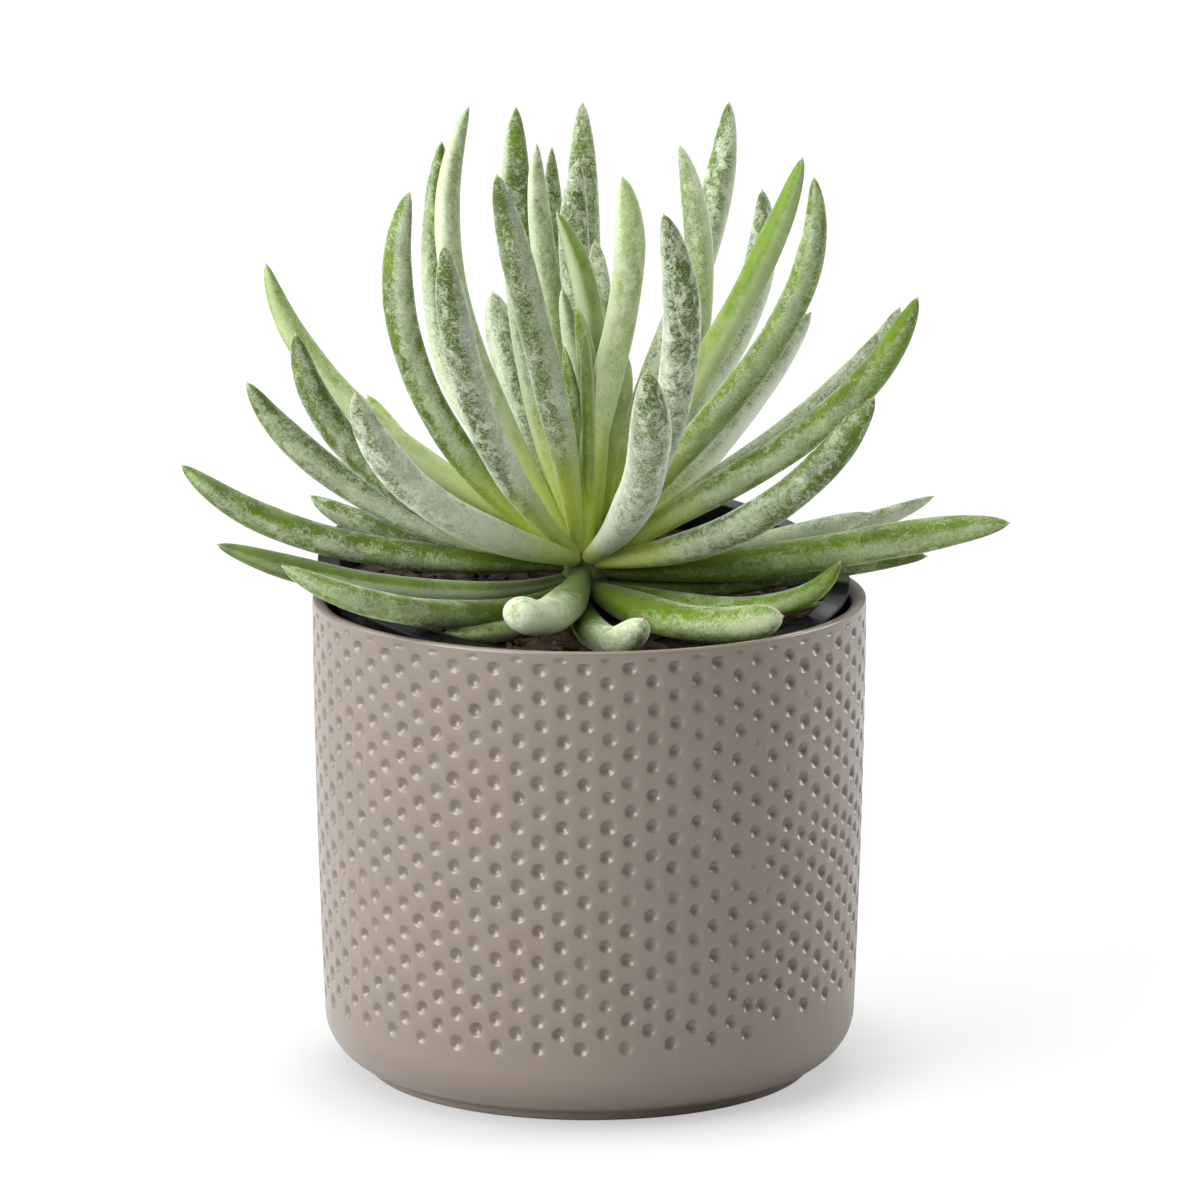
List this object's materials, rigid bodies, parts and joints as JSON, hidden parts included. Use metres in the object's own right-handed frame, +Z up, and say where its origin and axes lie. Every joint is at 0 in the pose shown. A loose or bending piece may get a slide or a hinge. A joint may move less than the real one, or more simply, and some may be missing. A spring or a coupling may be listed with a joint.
{
  "type": "potted succulent",
  "caption": "Rosette of felted grey-green finger leaves on a short stem, in a black nursery pot tilted inside a dimpled taupe ceramic pot.",
  "frame": {"origin": "centre of the ceramic pot's flat foot, on its underside", "axes": "+Z up, -Y to the front, +X to the right as seen from the front; the plant and nursery pot lean about nine degrees to the front"},
  "size_m": [0.1857, 0.1437, 0.2187],
  "materials": {
    "glaze": "satin",
    "plastic": "satin",
    "soil": "matte",
    "stem": "matte",
    "leaf": "matte"
  },
  "bodies": {
    "root": {"ceramic_pot": "glaze", "nursery_pot": "plastic", "soil": "soil", "stem": "stem", "low_leaf_1": "leaf", "low_leaf_2": "leaf", "low_leaf_3": "leaf", "low_leaf_4": "leaf", "low_leaf_5": "leaf", "low_leaf_6": "leaf", "low_leaf_7": "leaf", "low_leaf_8": "leaf", "low_leaf_9": "leaf", "low_leaf_10": "leaf", "low_leaf_11": "leaf", "low_leaf_12": "leaf", "low_leaf_13": "leaf", "low_leaf_14": "leaf", "low_leaf_15": "leaf", "low_leaf_16": "leaf", "low_leaf_17": "leaf", "middle_leaf_1": "leaf", "middle_leaf_2": "leaf", "middle_leaf_3": "leaf", "middle_leaf_4": "leaf", "middle_leaf_5": "leaf", "middle_leaf_6": "leaf", "middle_leaf_7": "leaf", "middle_leaf_8": "leaf", "middle_leaf_9": "leaf", "middle_leaf_10": "leaf", "middle_leaf_11": "leaf", "middle_leaf_12": "leaf", "middle_leaf_13": "leaf", "middle_leaf_14": "leaf", "middle_leaf_15": "leaf", "middle_leaf_16": "leaf", "middle_leaf_17": "leaf", "middle_leaf_18": "leaf", "middle_leaf_19": "leaf", "middle_leaf_20": "leaf", "middle_leaf_21": "leaf", "middle_leaf_22": "leaf", "middle_leaf_23": "leaf", "middle_leaf_24": "leaf", "middle_leaf_25": "leaf", "inner_leaf_1": "leaf", "inner_leaf_2": "leaf", "inner_leaf_3": "leaf", "inner_leaf_4": "leaf", "inner_leaf_5": "leaf", "inner_leaf_6": "leaf", "inner_leaf_7": "leaf", "inner_leaf_8": "leaf", "inner_leaf_9": "leaf", "inner_leaf_10": "leaf", "inner_leaf_11": "leaf", "inner_leaf_12": "leaf", "inner_leaf_13": "leaf", "inner_leaf_14": "leaf"}
  },
  "joints": []
}
